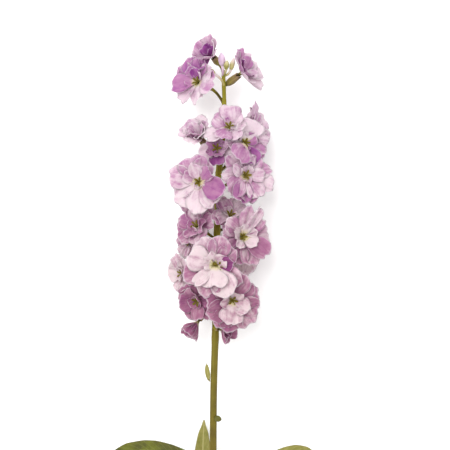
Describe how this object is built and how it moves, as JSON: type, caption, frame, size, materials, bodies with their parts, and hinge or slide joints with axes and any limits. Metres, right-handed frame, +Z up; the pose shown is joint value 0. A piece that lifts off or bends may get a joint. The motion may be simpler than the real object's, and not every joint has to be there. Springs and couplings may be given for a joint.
{
  "type": "stock flower stem",
  "caption": "Cut stem of double-flowered stock: a lilac and white flower spike on a bare green stem with leaves, laid down on a flat surface.",
  "frame": {"origin": "middle of the footprint on the surface that the flower lies on", "axes": "+Y along the stem from the cut end to the tip of the spike; +Z up from the surface; +X to the right, seen from above with the tip at the top"},
  "size_m": [0.1414, 0.3674, 0.0532],
  "materials": {
    "petal": "matte",
    "calyx": "satin",
    "stem": "satin",
    "leaf": "matte",
    "bud": "satin"
  },
  "bodies": {
    "root": {"bract": "leaf", "bud_axil": "bud", "bud_cream": "bud", "bud_green": "bud", "bud_long": "bud", "bud_pale": "bud", "floret_back_left_calyx": "calyx", "floret_back_left_petals": "petal", "floret_back_low_calyx": "calyx", "floret_back_low_petals": "petal", "floret_back_right_calyx": "calyx", "floret_back_right_petals": "petal", "floret_back_top_calyx": "calyx", "floret_back_top_petals": "petal", "floret_back_upper_calyx": "calyx", "floret_back_upper_petals": "petal", "floret_bell_calyx": "calyx", "floret_bell_petals": "petal", "floret_centre_calyx": "calyx", "floret_centre_petals": "petal", "floret_hanging_bud_calyx": "calyx", "floret_hanging_bud_petals": "petal", "floret_left_pale_calyx": "calyx", "floret_left_pale_petals": "petal", "floret_left_small_calyx": "calyx", "floret_left_small_petals": "petal", "floret_low_left_calyx": "calyx", "floret_low_left_petals": "petal", "floret_low_right_calyx": "calyx", "floret_low_right_petals": "petal", "floret_lowest_calyx": "calyx", "floret_lowest_petals": "petal", "floret_mid_behind_calyx": "calyx", "floret_mid_behind_petals": "petal", "floret_mid_left_calyx": "calyx", "floret_mid_left_petals": "petal", "floret_mid_right_calyx": "calyx", "floret_mid_right_petals": "petal", "floret_mid_violet_calyx": "calyx", "floret_mid_violet_petals": "petal", "floret_right_calyx": "calyx", "floret_right_edge_calyx": "calyx", "floret_right_edge_petals": "petal", "floret_right_petals": "petal", "floret_tip_calyx": "calyx", "floret_tip_petals": "petal", "floret_top_left_calyx": "calyx", "floret_top_left_petals": "petal", "floret_top_right_calyx": "calyx", "floret_top_right_petals": "petal", "floret_upper_curl_calyx": "calyx", "floret_upper_curl_petals": "petal", "floret_upper_mid_calyx": "calyx", "floret_upper_mid_petals": "petal", "floret_upper_right_calyx": "calyx", "floret_upper_right_petals": "petal", "leaf_left": "leaf", "leaf_middle": "leaf", "leaf_right": "leaf", "stem": "stem"}
  },
  "joints": []
}
